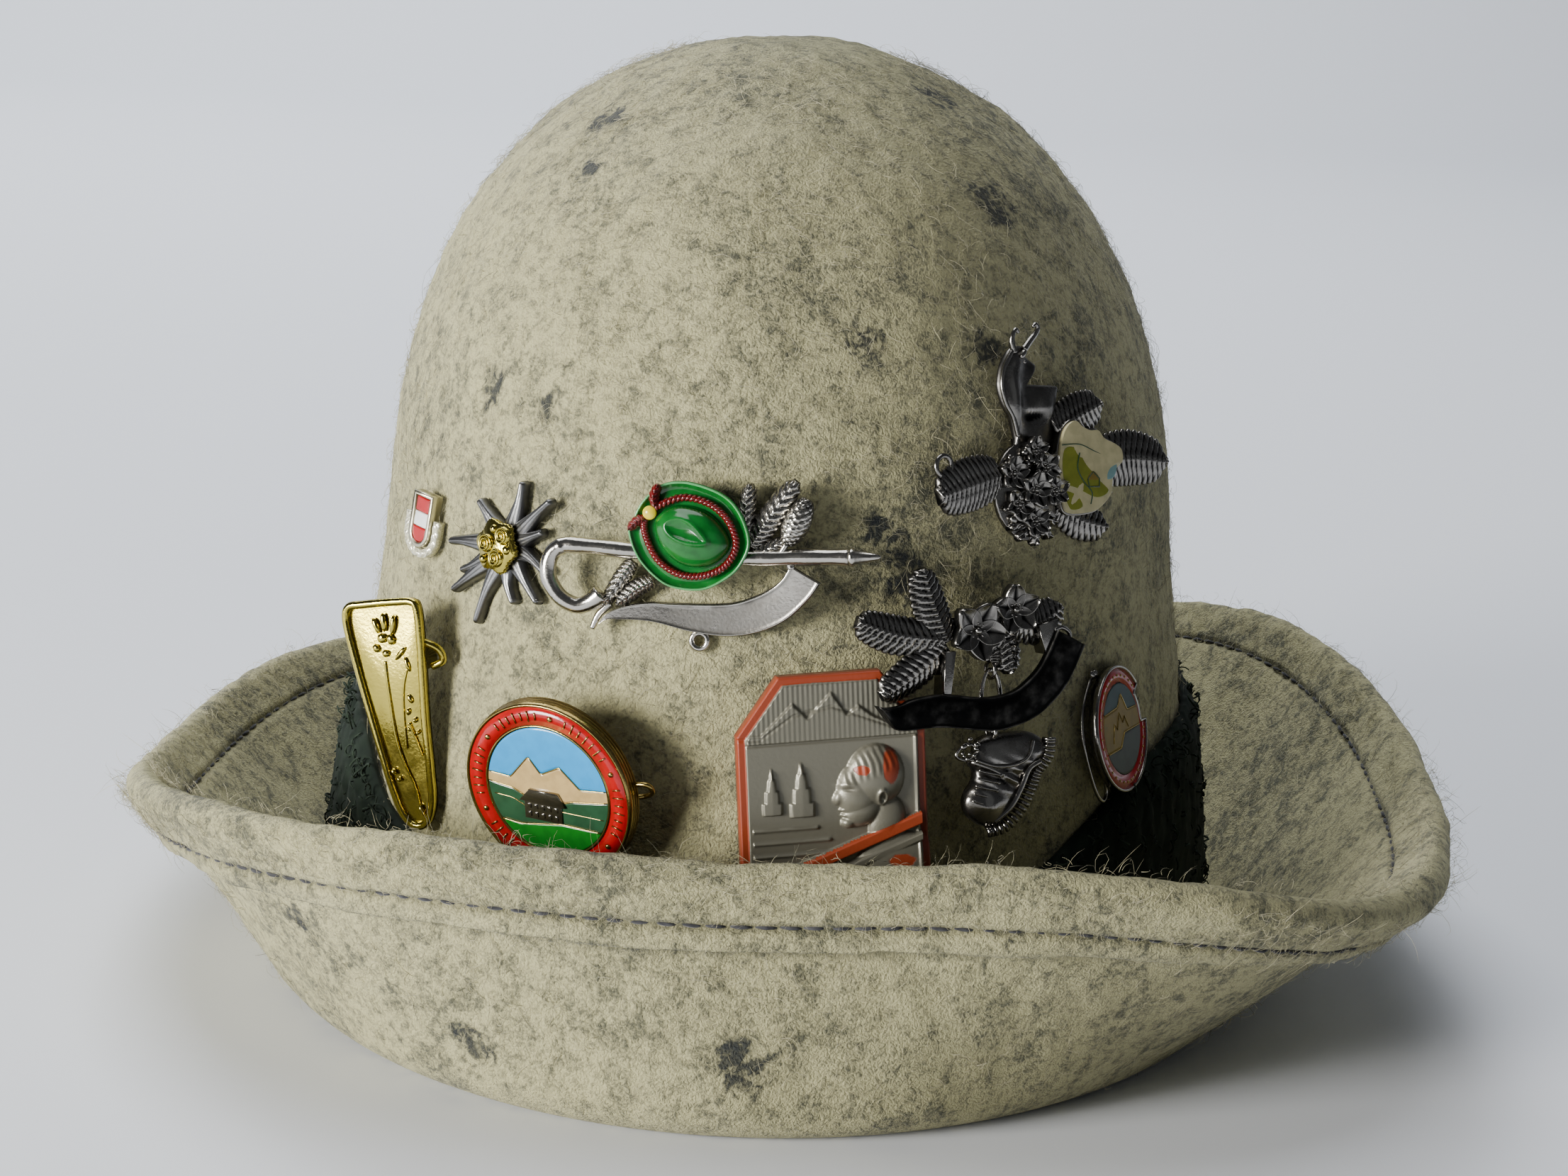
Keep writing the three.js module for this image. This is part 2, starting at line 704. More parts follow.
// Petals by their bearing on the pin and their length as a share of its reach
const petalRows = [
  { angle: 76.4, reach: 0.852 },
  { angle: 43.5, reach: 0.995 },
  { angle: 138.7, reach: 0.714 },
  { angle: -173, reach: 0.993 },
  { angle: -149.1, reach: 0.849 },
  { angle: -140, reach: 1.11 },
  { angle: -110.3, reach: 1.112 },
  { angle: -69, reach: 0.719 },
  { angle: -41.1, reach: 0.891 },
  { angle: -14.7, reach: 0.79 },
  { angle: 24, reach: 0.703 },
];

// Half width along a petal, as a share of petalHalfWidth
const petalEdge = [
  { along: 0, half: 1 },
  { along: 0.4, half: 0.86 },
  { along: 0.7, half: 0.46 },
  { along: 0.92, half: 0.52 },
  { along: 1, half: 0.24 },
];

// Beads of the cushion: distance out as a share of its radius, size as a share of beadRadius
const beadRows = [
  { angle: 49, out: 0.6, size: 1 },
  { angle: 175, out: 0.46, size: 1 },
  { angle: -70, out: 0.44, size: 1 },
  { angle: 102, out: 0.66, size: 0.5 },
  { angle: -2, out: 0.64, size: 0.5 },
  { angle: -134, out: 0.78, size: 0.5 },
];

// Edelweiss: uneven petals round a raised cushion of beads
function edelweissPin() {
  const frame = seat({ bearing: -122.2, rise: 0.494, halfWidthAt: rounded(edelweissReach) });
  const x = edelweissMiddle.x * edelweissReach;
  const y = edelweissMiddle.y * edelweissReach;
  const petal = (row) => {
    const side = (sign) => petalEdge.map((step) => [
      step.along * row.reach * edelweissReach,
      sign * step.half * petalHalfWidth,
    ]);
    const blade = plate(polygon([...side(-1), ...side(1).reverse()]), 0, petalThickness);
    return blade.rotateZ(radians(row.angle)).translate(x, y, 0);
  };
  const heart = disc(cushionRadius * 0.9, 0, petalThickness, 8, x, y);
  const low = petalThickness + gap;
  const beads = beadRows.map((row) => {
    const away = cushionRadius * row.out;
    const size = beadRadius * row.size;
    const beadX = x + away * Math.cos(radians(row.angle));
    const beadY = y + away * Math.sin(radians(row.angle));
    return dome(size, size, size, beadX, beadY, low + cushionRise * 0.8, 7);
  });
  const cushion = fuse(disc(cushionRadius, low, low + cushionRise, 8, x, y), ...beads);
  return pin(frame,
    named('edelweiss_petals', fuse(...petalRows.map(petal), heart), finishes.silver),
    named('edelweiss_centre', cushion, finishes.gold));
}

// Middle line of the stick with its crook, as shares of caneReach
const stickRows = [
  { x: -0.493, y: -0.248 },
  { x: -0.556, y: -0.301 },
  { x: -0.634, y: -0.327 },
  { x: -0.729, y: -0.284 },
  { x: -0.794, y: -0.186 },
  { x: -0.794, y: -0.082 },
  { x: -0.745, y: -0.02 },
  { x: -0.654, y: 0 },
  { x: -0.343, y: -0.003 },
  { x: 0, y: -0.003 },
  { x: 0.304, y: 0.013 },
  { x: 0.585, y: 0.042 },
  { x: 0.837, y: 0.062 },
];

// Edges of the bare ribbon under the stick
const caneRibbonUpper = [
  { x: -0.497, y: -0.402 },
  { x: -0.373, y: -0.31 },
  { x: -0.092, y: -0.271 },
  { x: 0.18, y: -0.248 },
  { x: 0.317, y: -0.203 },
  { x: 0.418, y: -0.144 },
  { x: 0.513, y: -0.02 },
];
const caneRibbonLower = [
  { x: -0.49, y: -0.422 },
  { x: -0.376, y: -0.389 },
  { x: -0.212, y: -0.386 },
  { x: -0.003, y: -0.418 },
  { x: 0.19, y: -0.428 },
  { x: 0.359, y: -0.392 },
  { x: 0.507, y: -0.314 },
  { x: 0.624, y: -0.19 },
  { x: 0.683, y: -0.095 },
];

// Fir sprigs from their root to their tip
const caneSprigs = [
  { fromX: 0.281, fromY: 0.046, toX: 0.52, toY: 0.444, width: 0.157 },
  { fromX: 0.268, fromY: 0.052, toX: 0.268, toY: 0.412, width: 0.105 },
  { fromX: 0.294, fromY: 0, toX: 0.477, toY: 0.124, width: 0.105 },
  { fromX: -0.327, fromY: -0.02, toX: -0.497, toY: -0.379, width: 0.105 },
  { fromX: -0.268, fromY: -0.02, toX: -0.425, toY: -0.34, width: 0.105 },
];

// Outlines of the little hat's brim and crown, as shares of caneHatWidth
const caneBrimRows = [
  { x: -0.305, y: 0.57 },
  { x: -0.105, y: 0.615 },
  { x: 0.135, y: 0.57 },
  { x: 0.295, y: 0.485 },
  { x: 0.405, y: 0.34 },
  { x: 0.465, y: 0.155 },
  { x: 0.42, y: -0.005 },
  { x: 0.32, y: -0.135 },
  { x: 0.115, y: -0.26 },
  { x: -0.125, y: -0.27 },
  { x: -0.285, y: -0.205 },
  { x: -0.455, y: -0.045 },
  { x: -0.545, y: 0.16 },
  { x: -0.52, y: 0.31 },
  { x: -0.445, y: 0.46 },
];
const caneCrownRows = [
  { x: -0.3, y: 0.29 },
  { x: -0.15, y: 0.4 },
  { x: 0.085, y: 0.37 },
  { x: 0.23, y: 0.26 },
  { x: 0.28, y: 0.11 },
  { x: 0.18, y: -0.03 },
  { x: 0, y: -0.075 },
  { x: -0.17, y: -0.025 },
  { x: -0.28, y: 0.115 },
];
const caneFeatherRows = [
  { x: -0.395, y: 0.485 },
  { x: -0.325, y: 0.59 },
  { x: -0.29, y: 0.545 },
  { x: -0.32, y: 0.485 },
];
const caneHatMiddle = { x: -0.04, y: 0.18 };
const caneKnot = { x: -0.462, y: 0.352 };
const caneCone = { x: 0.526, y: 0.222, length: 0.275, width: 0.134, turn: 66 };
const caneLoop = { x: 0.049, y: -0.464, radius: 0.059, hole: 0.026 };

// Walking stick pin with a little enamelled hat, fir sprigs and a bare ribbon
function canePin() {
  const frame = seat({ bearing: -98.6, rise: 0.517, halfWidthAt: boxed(21, 17) });
  const level = caneRodRadius + 0.2;
  const stick = spread(stickRows, caneReach).map(([x, y]) => [x, y, level]);
  const rod = wire(stick, caneRodRadius, 7, 26);
  const [endX, endY] = stick[stick.length - 1];
  const ferruleLength = caneReach - endX;
  const ferrule = new THREE.CylinderGeometry(caneRodRadius * 0.25, caneRodRadius * 1.1, ferruleLength, 8);
  ferrule.rotateZ(-Math.PI / 2).translate(endX + ferruleLength / 2 - 0.1, endY + 0.2, level);
  const ribbonEdges = [spread(caneRibbonUpper, caneReach), spread(caneRibbonLower, caneReach)];
  const ribbon = strip(...ribbonEdges, 0, caneThickness);
  const loop = annulus(caneLoop.hole * caneReach, caneLoop.radius * caneReach, 0, caneThickness, 6,
    caneLoop.x * caneReach, caneLoop.y * caneReach);
  const sprigs = caneSprigs.map((row) => twig(row, caneReach, 0.1, caneThickness));
  const cone = dome(caneCone.length * caneReach / 2, caneCone.width * caneReach / 2, caneThickness + 1,
    caneCone.x * caneReach, caneCone.y * caneReach, 0.4, 10, caneCone.turn);
  const stem = wire([[13.4, 1.2, 1.2], [14.2, 2.4, 1.2], [15.2, 4.4, 1.2]], 0.6, 6, 3);
  const link = wire([[15.2, 0.6, 0.9], [15.8, -0.8, 0.8], [16.4, -2.6, 0.7]], 0.6, 6, 3);
  const casting = fuse(rod, ferrule, ribbon, loop, cone, stem, link, ...sprigs);

  const brimLow = level + caneRodRadius + gap;
  const brimHigh = brimLow + caneBrimThickness;
  const crown = outline(caneCrownRows, caneHatWidth, 18);
  const middle = [caneHatMiddle.x * caneHatWidth, caneHatMiddle.y * caneHatWidth];
  const hat = fuse(plate(polygon(outline(caneBrimRows, caneHatWidth, 26)), brimLow, brimHigh),
    mound(crown, brimHigh - gap, caneHatRise, middle));
  const ropeAt = insetLine(crown, -caneCordRadius - gap * 1.2)
    .map(([x, y]) => new THREE.Vector3(x, y, brimHigh + gap + caneCordRadius));
  const knot = disc(caneKnotRadius, brimHigh + gap, brimHigh + 1.3, 5, caneKnot.x * caneHatWidth,
    caneKnot.y * caneHatWidth);
  const feather = plate(polygon(spread(caneFeatherRows, caneHatWidth)), brimHigh + gap, brimHigh + 1);
  return pin(frame,
    named('cane_pin_casting', casting, finishes.silver),
    named('cane_pin_hat', hat, finishes.greenEnamel),
    named('cane_pin_cord', ringAlong(ropeAt, caneCordRadius, 6), finishes.cordRed),
    named('cane_pin_knot', knot, finishes.yellowEnamel),
    named('cane_pin_feather', feather, finishes.cordRed));
}

// Outline of the gold pin and its stems and blossoms, as shares of goldHeight
const goldRows = [
  { x: -0.161, y: 0.495 },
  { x: -0.073, y: 0.5 },
  { x: 0.073, y: 0.495 },
  { x: 0.156, y: 0.485 },
  { x: 0.188, y: 0.444 },
  { x: 0.178, y: 0.305 },
  { x: 0.156, y: 0.146 },
  { x: 0.129, y: -0.049 },
  { x: 0.11, y: -0.246 },
  { x: 0.09, y: -0.395 },
  { x: 0.041, y: -0.483 },
  { x: -0.029, y: -0.495 },
  { x: -0.088, y: -0.437 },
  { x: -0.12, y: -0.317 },
  { x: -0.141, y: -0.146 },
  { x: -0.163, y: 0.049 },
  { x: -0.185, y: 0.261 },
  { x: -0.195, y: 0.429 },
];
const goldStems = [
  { fromX: -0.022, fromY: 0.234, viaX: -0.037, viaY: -0.09, toX: 0.012, toY: -0.39 },
  { fromX: 0.073, fromY: 0.185, viaX: 0.022, viaY: 0.007, toX: 0.002, toY: -0.146 },
  { fromX: 0.039, fromY: -0.037, viaX: 0.056, viaY: -0.11, toX: 0.068, toY: -0.18 },
];
const goldBlossoms = [
  { x: -0.034, y: 0.38, width: 0.017, height: 0.041, turn: 14 },
  { x: 0.005, y: 0.39, width: 0.017, height: 0.044, turn: -4 },
  { x: 0.046, y: 0.376, width: 0.017, height: 0.046, turn: -18 },
  { x: 0, y: 0.317, width: 0.049, height: 0.032, turn: 0 },
  { x: -0.039, y: 0.278, width: 0.029, height: 0.024, turn: 30 },
  { x: 0.063, y: 0.239, width: 0.015, height: 0.044, turn: -40 },
  { x: 0.063, y: 0.059, width: 0.017, height: 0.027, turn: 20 },
];

// Tall gilt plate with a raised rim and flower stems in relief
function goldPin() {
  const edge = outline(goldRows, goldHeight, 30);
  const frame = seat({
    bearing: -134.4,
    rise: 0.3,
    yaw: 34,
    tilt: -6,
    roll: 14.5,
    halfWidthAt: tapered(goldHeight / 2, 0.107 * goldHeight, 0.198 * goldHeight),
  });
  const tray = cut(plate(polygon(edge), 0, goldThickness),
    plate(polygon(insetLine(edge, goldRim)), goldFloor, goldThickness + 1));
  const level = goldFloor + 0.1;
  const stems = goldStems.map((row) => wire([
    [row.fromX * goldHeight, row.fromY * goldHeight, level],
    [row.viaX * goldHeight, row.viaY * goldHeight, level],
    [row.toX * goldHeight, row.toY * goldHeight, level],
  ], 0.4, 5, 5));
  const blossoms = goldBlossoms.map((row) => dome(row.width * goldHeight, row.height * goldHeight, 0.8,
    row.x * goldHeight, row.y * goldHeight, goldFloor - 0.1, 7, row.turn));
  const bar = backBar(frame, { halfLength: 4.5, halfHeight: 2, x: 1, y: 9, depth: 24 });
  return pin(frame, named('gold_pin', fuse(tray, ...stems, ...blossoms, bar), finishes.gold));
}

// Fields of a round picture, each between two lines across the disc
function fields(radius, low, high, lines) {
  const round = disc(radius, low, high, roundSteps);
  return lines.slice(1).map((line, k) => {
    const under = lines[k].map(([x, y]) => [x * radius, y * radius + gap]);
    const over = line.map(([x, y]) => [x * radius, y * radius - gap]);
    return common(round, plate(polygon([...under, ...over.reverse()]), low - 1, high + 1));
  });
}

// Lines that part the fields of the round badge, from its foot to its top, as shares of the radius
const roundLines = [
  [[-2, -2], [2, -2]],
  [[-2, -0.5], [-0.5, -0.62], [0.2, -0.5], [2, -0.55]],
  [[-2, 0.1], [-0.6, -0.05], [-0.1, -0.28], [0.4, -0.1], [2, 0.15]],
  [[-2, 0.2], [-0.62, 0.12], [-0.3, 0.5], [-0.1, 0.25], [0.22, 0.42], [0.55, 0.12], [2, 0.3]],
  [[-2, 2], [2, 2]],
];

// Catch at the badge's side: distance out past the rim, height and level
const catchRows = [
  { out: -1.5, y: 3, z: 0.6 },
  { out: 1.6, y: 3.4, z: 0.2 },
  { out: 2.2, y: 1.8, z: -0.6 },
  { out: 0.4, y: 0.6, z: -0.8 },
  { out: -2, y: 0.6, z: 0.4 },
];

// Round enamel badge: brass tray, red ring and a plain mountain view
function roundBadge() {
  const frame = seat({
    bearing: -110.4,
    rise: 0.285,
    yaw: -0.5,
    tilt: -20,
    halfWidthAt: rounded(roundRadius + 0.5),
  });
  const ringOuter = roundRadius - roundOuterRim;
  const ringInner = ringOuter - roundRingWidth;
  const viewRadius = ringInner - roundInnerRim;
  const tray = cut(disc(roundRadius, 0, roundThickness, roundSteps),
    annulus(ringInner, ringOuter, roundFloor, roundThickness + 1, roundSteps),
    disc(viewRadius, roundFloor, roundThickness + 1, roundSteps));
  const ring = annulus(ringInner + gap, ringOuter - gap, roundFloor + gap, roundThickness, roundSteps);
  const [meadow, hills, peaks, sky] = fields(viewRadius - gap, roundFloor + gap, roundThickness, roundLines);
  const catchWire = wire(catchRows.map((row) => [roundRadius + row.out, row.y, row.z]), 0.45, 6, 10);
  const bar = backBar(frame, { halfLength: 5, halfHeight: 1.6, y: 6, depth: 22 });
  return pin(frame,
    named('round_badge_tray', fuse(tray, catchWire, bar), finishes.brass),
    named('round_badge_ring', ring, finishes.redEnamel),
    named('round_badge_meadow', meadow, finishes.meadowEnamel),
    named('round_badge_hills', hills, finishes.hillEnamel),
    named('round_badge_peaks', peaks, finishes.peakEnamel),
    named('round_badge_sky', sky, finishes.skyEnamel));
}

// Relief of the plaque as shares of its half width
const rangeRows = [
  { x: -0.7, y: 0.52 },
  { x: -0.41, y: 0.82 },
  { x: -0.25, y: 0.66 },
  { x: 0, y: 0.92 },
  { x: 0.29, y: 0.64 },
  { x: 0.44, y: 0.76 },
  { x: 0.67, y: 0.52 },
];
const treeRows = [
  { x: -0.66, foot: -0.36, width: 0.3 },
  { x: -0.34, foot: -0.4, width: 0.36 },
];
const skiRows = [
  { fromX: -0.42, fromY: -0.98, toX: 0.96, toY: -0.46 },
  { fromX: -0.16, fromY: -1.06, toX: 0.96, toY: -0.66 },
];
const headRelief = { x: 0.41, y: -0.08, halfWidth: 0.36, halfHeight: 0.4, rise: 2.6, turn: -8 };
const jawRelief = { x: 0.25, y: -0.32, halfWidth: 0.21, halfHeight: 0.28, rise: 2, turn: 20 };
const noseRelief = [
  { x: 0.13, y: -0.13 },
  { x: -0.03, y: -0.28 },
  { x: 0.15, y: -0.33 },
];

// Moulded plaque: clipped corners, a range of hills, fir trees, a head in low relief and skis
function plaquePin() {
  const size = plaqueHalfWidth;
  const frame = seat({
    bearing: -84.3,
    rise: 0.305,
    yaw: -2,
    tilt: -4,
    roll: 4.5,
    halfWidthAt: boxed(plaqueHalfWidth, -plaqueFoot),
    stand: 1,
  });
  const edge = (inset) => {
    const x = plaqueHalfWidth - inset;
    const top = plaqueTop - inset;
    const shoulder = plaqueTop - plaqueClipHeight - inset * 0.4;
    const crest = x - plaqueClipWidth + inset * 0.4;
    return polygon([[-x, plaqueFoot + inset], [x, plaqueFoot + inset], [x, shoulder], [crest, top],
      [-crest, top], [-x, shoulder]]);
  };
  const base = plate(edge(0), 0, plaqueThickness);
  const step = plate(edge(1.3), plaqueThickness - 0.5, plaqueThickness + plaqueRelief * 0.5);
  const low = plaqueThickness + plaqueRelief * 0.4;
  const trees = treeRows.map(({ x, foot, width }) => plate(polygon(spread([
    { x: x - width / 2, y: foot },
    { x: x + width / 2, y: foot },
    { x, y: foot + 1.6 * width },
  ], size)), low, low + plaqueRelief));
  const range = plate(polygon(spread(rangeRows, size)), low, low + plaqueRelief);
  const lump = (row) => dome(row.halfWidth * size, row.halfHeight * size, row.rise, row.x * size, row.y * size,
    low - 0.2, 12, row.turn);
  const nose = plate(polygon(spread(noseRelief, size)), low - 0.2, low + 1);
  const skis = skiRows.map((row) => straightBar(row, size, 0.035, low - 0.2, low + 1));
  const bar = backBar(frame, { halfLength: 7, halfHeight: 1.8, y: 7, depth: 18 });
  const body = fuse(base, step, ...trees, range, lump(headRelief), lump(jawRelief), nose, ...skis, bar);
  return pin(frame, named('plaque', body, finishes.orangePlastic));
}

// Chamois brooch, as shares of chamoisReach: outline of the standing animal
const chamoisRows = [
  { x: -0.102, y: 0.625 },
  { x: -0.019, y: 0.635 },
  { x: -0.006, y: 0.6 },
  { x: 0.022, y: 0.562 },
  { x: 0.073, y: 0.53 },
  { x: 0.06, y: 0.505 },
  { x: -0.006, y: 0.511 },
  { x: -0.057, y: 0.505 },
  { x: -0.076, y: 0.473 },
  { x: -0.06, y: 0.435 },
  { x: 0.07, y: 0.419 },
  { x: 0.219, y: 0.4 },
  { x: 0.219, y: 0.359 },
  { x: 0.194, y: 0.273 },
  { x: 0.152, y: 0.21 },
  { x: 0.117, y: 0.162 },
  { x: 0.067, y: 0.137 },
  { x: 0.044, y: 0.086 },
  { x: 0.038, y: -0.032 },
  { x: -0.124, y: -0.032 },
  { x: -0.133, y: 0.152 },
  { x: -0.159, y: 0.254 },
  { x: -0.2, y: 0.333 },
  { x: -0.219, y: 0.432 },
  { x: -0.194, y: 0.527 },
  { x: -0.149, y: 0.59 },
];
const hornRows = [
  [
    { x: -0.089, y: 0.59 },
    { x: -0.111, y: 0.66 },
    { x: -0.102, y: 0.702 },
    { x: -0.073, y: 0.724 },
  ],
  [
    { x: -0.025, y: 0.59 },
    { x: 0.022, y: 0.66 },
    { x: 0.063, y: 0.692 },
    { x: 0.083, y: 0.727 },
    { x: 0.051, y: 0.746 },
  ],
];
const chamoisSprigs = [
  { fromX: -0.063, fromY: -0.051, toX: -0.724, toY: -0.121, width: 0.298 },
  { fromX: 0.095, fromY: 0.114, toX: 0.521, toY: 0.286, width: 0.254 },
  { fromX: 0.381, fromY: -0.032, toX: 0.997, toY: -0.076, width: 0.317 },
  { fromX: 0.063, fromY: -0.178, toX: 0.483, toY: -0.4, width: 0.229 },
];
const chamoisShieldRows = [
  { x: 0.178, y: 0.165 },
  { x: 0.257, y: 0.21 },
  { x: 0.317, y: 0.171 },
  { x: 0.368, y: 0.149 },
  { x: 0.432, y: 0.143 },
  { x: 0.476, y: 0.095 },
  { x: 0.552, y: 0.06 },
  { x: 0.6, y: 0.022 },
  { x: 0.6, y: -0.041 },
  { x: 0.543, y: -0.083 },
  { x: 0.511, y: -0.137 },
  { x: 0.492, y: -0.206 },
  { x: 0.432, y: -0.26 },
  { x: 0.337, y: -0.298 },
  { x: 0.152, y: -0.289 },
  { x: 0.117, y: -0.21 },
  { x: 0.098, y: -0.102 },
  { x: 0.127, y: 0.051 },
];
const chestLump = { x: -0.136, y: 0.371, halfWidth: 0.056, halfHeight: 0.19, rise: 1.3, turn: 10 };
const flankLump = { x: 0.09, y: 0.324, halfWidth: 0.1, halfHeight: 0.066, rise: 0.8, turn: 0 };
const flowerBed = { x: -0.09, y: -0.146, halfWidth: 0.235, halfHeight: 0.267, rise: 3, turn: 0 };
const chamoisLoop = { x: -0.66, y: 0.038, radius: 0.07, hole: 0.035 };

// Brooch with a standing chamois over flowers and fir sprigs, and a bare shield
function chamoisPin() {
  const size = chamoisReach;
  const front = chamoisBack + chamoisThickness;
  const frame = seat({ bearing: -58.3, rise: 0.603, yaw: -3, halfWidthAt: boxed(16, 14) });
  const body = plate(polygon(spread(chamoisRows, size)), chamoisBack, front + 0.3);
  const lump = (row, low) => dome(row.halfWidth * size, row.halfHeight * size, row.rise, row.x * size,
    row.y * size, low, 10, row.turn);
  const lumps = [lump(chestLump, front), lump(flankLump, front), lump(flowerBed, chamoisBack)];
  const horns = hornRows.map((rows) => wire(spread(rows, size).map(([x, y]) => [x, y, front]), 0.6, 5, 6));
  const sprigs = chamoisSprigs.map((row) => twig(row, size, chamoisBack, chamoisThickness));
  const loop = annulus(chamoisLoop.hole * size, chamoisLoop.radius * size, chamoisBack, chamoisBack + 0.9, 5,
    chamoisLoop.x * size, chamoisLoop.y * size);
  const edge = outline(chamoisShieldRows, size, 22);
  const tray = plate(polygon(insetLine(edge, 0.5)), chamoisBack, front + 0.4);
  const post = backBar(frame, { halfLength: 4, halfHeight: 1.5, y: 3, depth: 8, from: chamoisBack });
  const whole = fuse(body, ...lumps, ...horns, ...sprigs, loop, tray, post);
  const shieldLow = front + 0.4 + gap;
  const room = plate(polygon(insetLine(edge, -0.6)), front + 0.4, front + 8);
  const shield = plate(polygon(edge), shieldLow, shieldLow + shieldThickness);
  return pin(frame,
    named('chamois_brooch_casting', largestPiece(cut(whole, room)), finishes.darkSilver),
    named('chamois_brooch_shield', shield, finishes.creamEnamel));
}

// Twig brooch, as shares of twigReach: fir sprigs, flowers and the edges of the bare ribbon
const twigSprigs = [
  { fromX: -0.044, fromY: 0.151, toX: -0.88, toY: 0.32, width: 0.302 },
  { fromX: -0.044, fromY: 0.133, toX: -0.338, toY: 0.676, width: 0.302 },
  { fromX: -0.044, fromY: 0.133, toX: -0.684, toY: -0.24, width: 0.293 },
  { fromX: 0.178, fromY: 0.249, toX: 0.418, toY: -0.071, width: 0.24 },
  { fromX: 0.356, fromY: 0.249, toX: 0.88, toY: 0.32, width: 0.329 },
];
const twigFlowers = [
  { x: 0.107, y: 0.196, reach: 0.222, turn: 62 },
  { x: 0.444, y: 0.329, reach: 0.191, turn: 24 },
];
const twigRibbonUpper = [
  { x: -0.8, y: -0.284 },
  { x: -0.702, y: -0.307 },
  { x: -0.502, y: -0.267 },
  { x: -0.302, y: -0.244 },
  { x: 0.027, y: -0.284 },
  { x: 0.356, y: -0.276 },
  { x: 0.48, y: -0.213 },
  { x: 0.604, y: -0.107 },
  { x: 0.693, y: 0.027 },
  { x: 0.764, y: 0.16 },
];
const twigRibbonLower = [
  { x: -0.764, y: -0.329 },
  { x: -0.618, y: -0.48 },
  { x: -0.329, y: -0.484 },
  { x: 0.022, y: -0.529 },
  { x: 0.351, y: -0.538 },
  { x: 0.56, y: -0.476 },
  { x: 0.729, y: -0.364 },
  { x: 0.858, y: -0.231 },
  { x: 1, y: 0.031 },
];
const twigLinks = [
  { fromX: -0.19, fromY: 0.08, toX: -0.2, toY: -0.36 },
  { fromX: 0.72, fromY: 0.22, toX: 0.76, toY: -0.02 },
];
const bootRows = [
  { x: 0.151, y: -0.64 },
  { x: 0.44, y: -0.627 },
  { x: 0.587, y: -0.627 },
  { x: 0.68, y: -0.658 },
  { x: 0.738, y: -0.702 },
  { x: 0.729, y: -0.764 },
  { x: 0.667, y: -0.84 },
  { x: 0.582, y: -0.889 },
  { x: 0.538, y: -0.991 },
  { x: 0.476, y: -1.111 },
  { x: 0.387, y: -1.227 },
  { x: 0.284, y: -1.289 },
  { x: 0.178, y: -1.28 },
  { x: 0.058, y: -1.196 },
  { x: 0.018, y: -1.102 },
  { x: 0.04, y: -1.018 },
  { x: 0.102, y: -0.933 },
  { x: 0.111, y: -0.862 },
  { x: 0.071, y: -0.796 },
  { x: 0.102, y: -0.738 },
];
const bootToe = { x: 0.178, y: -1.14, halfWidth: 0.13, halfHeight: 0.13, rise: 1, turn: 0 };

// Fir twig brooch with flowers, a bare ribbon and a boot on a jump ring
function twigBrooch() {
  const size = twigReach;
  const frame = seat({ bearing: -71.8, rise: 0.419, halfWidthAt: boxed(16, 12), stand: 4.8 });
  const sprigs = twigSprigs.map((row) => twig(row, size, twigBack, twigThickness));
  const flowers = twigFlowers.flatMap((row) => Array.from({ length: 5 }, (_, k) => {
    const turn = row.turn + 72 * k;
    const away = row.reach * size * 0.5;
    const x = row.x * size + away * Math.cos(radians(turn));
    const y = row.y * size + away * Math.sin(radians(turn));
    return dome(row.reach * size * 0.55, row.reach * size * 0.34, 2, x, y, twigBack, 8, turn);
  }));
  const ribbon = strip(spread(twigRibbonUpper, size), spread(twigRibbonLower, size), twigRibbonLow,
    twigRibbonLow + twigRibbonThickness);
  const links = twigLinks.map((row) => straightBar(row, size, 0.06, twigBack, twigRibbonLow + gap));
  const level = twigBack + 0.3;
  const tab = block(ringX - 0.6, ringX + 0.6, ringTop + eyeRadius, 3.4, level - 0.5, level + 0.5);
  const topEye = eye(ringX, ringTop, level, eyeRadius, eyeWire);
  const bar = backBar(frame, { halfLength: 6, halfHeight: 1.6, y: 5, depth: 12, from: twigBack });
  const casting = fuse(...sprigs, ...flowers, ribbon, ...links, tab, topEye, bar);

  const ringMiddle = (ringTop + ringFoot) / 2;
  const ringHalf = (ringTop - ringFoot) / 2;
  const ringPoints = Array.from({ length: 12 }, (_, k) => {
    const t = (2 * Math.PI * k) / 12;
    return new THREE.Vector3(ringX + ringHalfWidth * Math.cos(t), ringMiddle + ringHalf * Math.sin(t), level);
  });
  const bootLow = twigBack - 0.6;
  const boot = plate(polygon(spread(bootRows, size)), bootLow, bootLow + bootThickness);
  const toe = dome(bootToe.halfWidth * size, bootToe.halfHeight * size, bootToe.rise, bootToe.x * size,
    bootToe.y * size, bootLow + bootThickness - 0.1, 8);
  const bootEye = eye(ringX, ringFoot, level, eyeRadius, eyeWire);
  return pin(frame,
    named('twig_brooch_casting', casting, finishes.darkSilver),
    named('twig_brooch_jump_ring', ringAlong(ringPoints, ringWire, 5), finishes.darkSilver),
    named('twig_brooch_boot', fuse(boot, toe, bootEye), finishes.darkSilver));
}

// Lines that part the fields of the side badge, as shares of the picture's radius
const sideLines = [
  [[-2, -2], [2, -2]],
  [[-2, -0.4], [-0.2, -0.4], [0.1, -0.1], [2, -0.1]],
  [[-2, 0.4], [-0.1, 0.5], [0.15, 0.75], [0.4, 0.35], [2, 0.3]],
  [[-2, 2], [2, 2]],
];

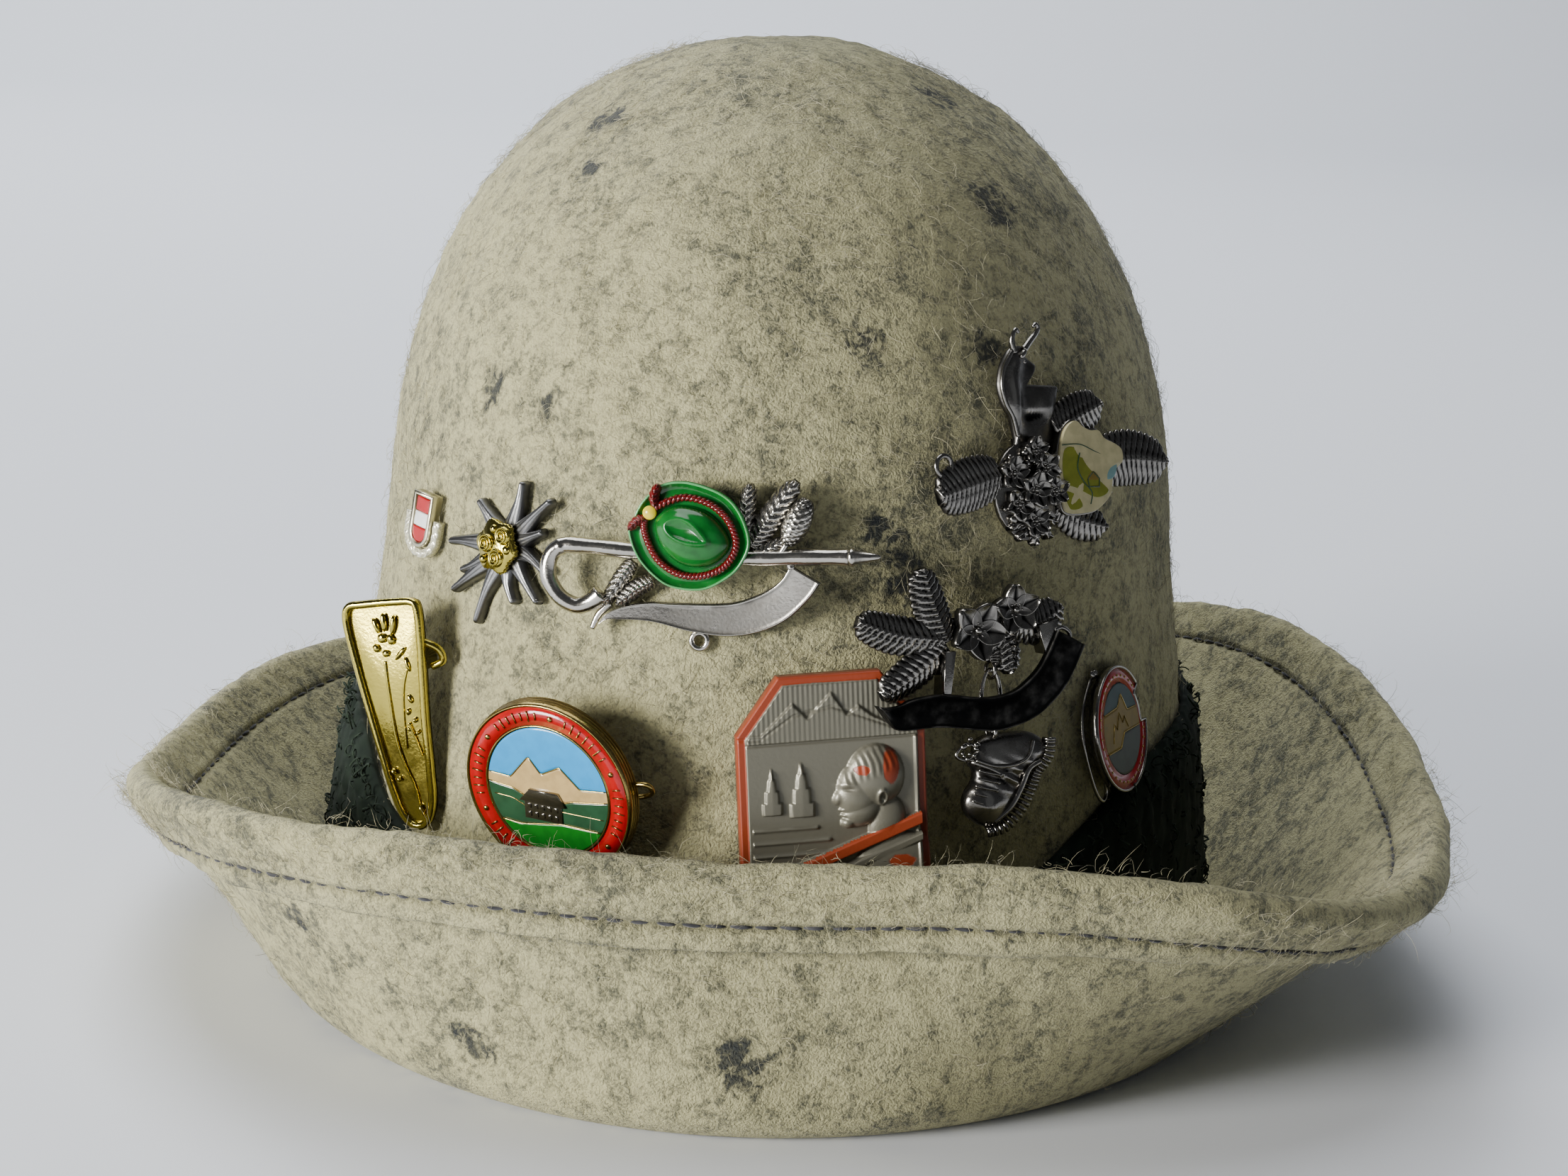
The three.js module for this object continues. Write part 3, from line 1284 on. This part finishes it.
// Round badge at the side: a red ring left open at one side round a picture of three fields
function sideBadge() {
  const frame = seat({
    bearing: -44.1,
    rise: 0.304,
    yaw: 7,
    tilt: 5,
    halfWidthAt: rounded(sideRadius),
    stand: 0.6,
  });
  const ringInner = sideRadius - sideRim - sideRingWidth;
  const sector = (grow) => {
    const at = (radius, angle, side) => [
      radius * Math.cos(radians(angle)) - side * grow * Math.sin(radians(angle)),
      radius * Math.sin(radians(angle)) + side * grow * Math.cos(radians(angle)),
    ];
    const [inner, outer] = [ringInner + 2 * gap, 2 * sideRadius];
    const low = [at(inner, notchFrom, -1), at(outer, notchFrom, -1)];
    const high = [at(outer, notchTo, 1), at(inner, notchTo, 1)];
    return plate(polygon([...low, ...high]), -1, sideThickness + 2);
  };
  const tray = cut(disc(sideRadius, 0, sideThickness, roundSteps),
    disc(sideRadius - sideRim, sideFloor, sideThickness + 1, roundSteps), sector(0));
  const ring = cut(annulus(ringInner, sideRadius - sideRim - gap, sideFloor + gap, sideThickness, roundSteps),
    sector(gap));
  const [ground, field, sky] = fields(ringInner - gap, sideFloor + gap, sideThickness, sideLines);
  const bar = backBar(frame, { halfLength: 3, halfHeight: 1.4, y: 5, depth: 20 });
  return pin(frame,
    named('side_badge_tray', fuse(tray, bar), finishes.brass),
    named('side_badge_ring', ring, finishes.redEnamel),
    named('side_badge_ground', ground, finishes.greyEnamel),
    named('side_badge_field', field, finishes.ochreEnamel),
    named('side_badge_sky', sky, finishes.tealEnamel));
}

// The hat stands with the middle of its footprint over the origin
const hat = new THREE.Group();
hat.add(named('felt_body', feltBody(), finishes.felt));
hat.add(named('hat_band', bandRing(gap, 0), finishes.band));
hat.add(stripeBadge(), edelweissPin(), canePin(), goldPin(), roundBadge(), plaquePin(), chamoisPin(),
  twigBrooch(), sideBadge());
const footprint = new THREE.Box3().setFromObject(hat, true).getCenter(new THREE.Vector3());
hat.position.set(-footprint.x, -footprint.y, 0);

const group = new THREE.Group();
group.name = 'tyrolean_hat';
group.add(hat);

export default group;
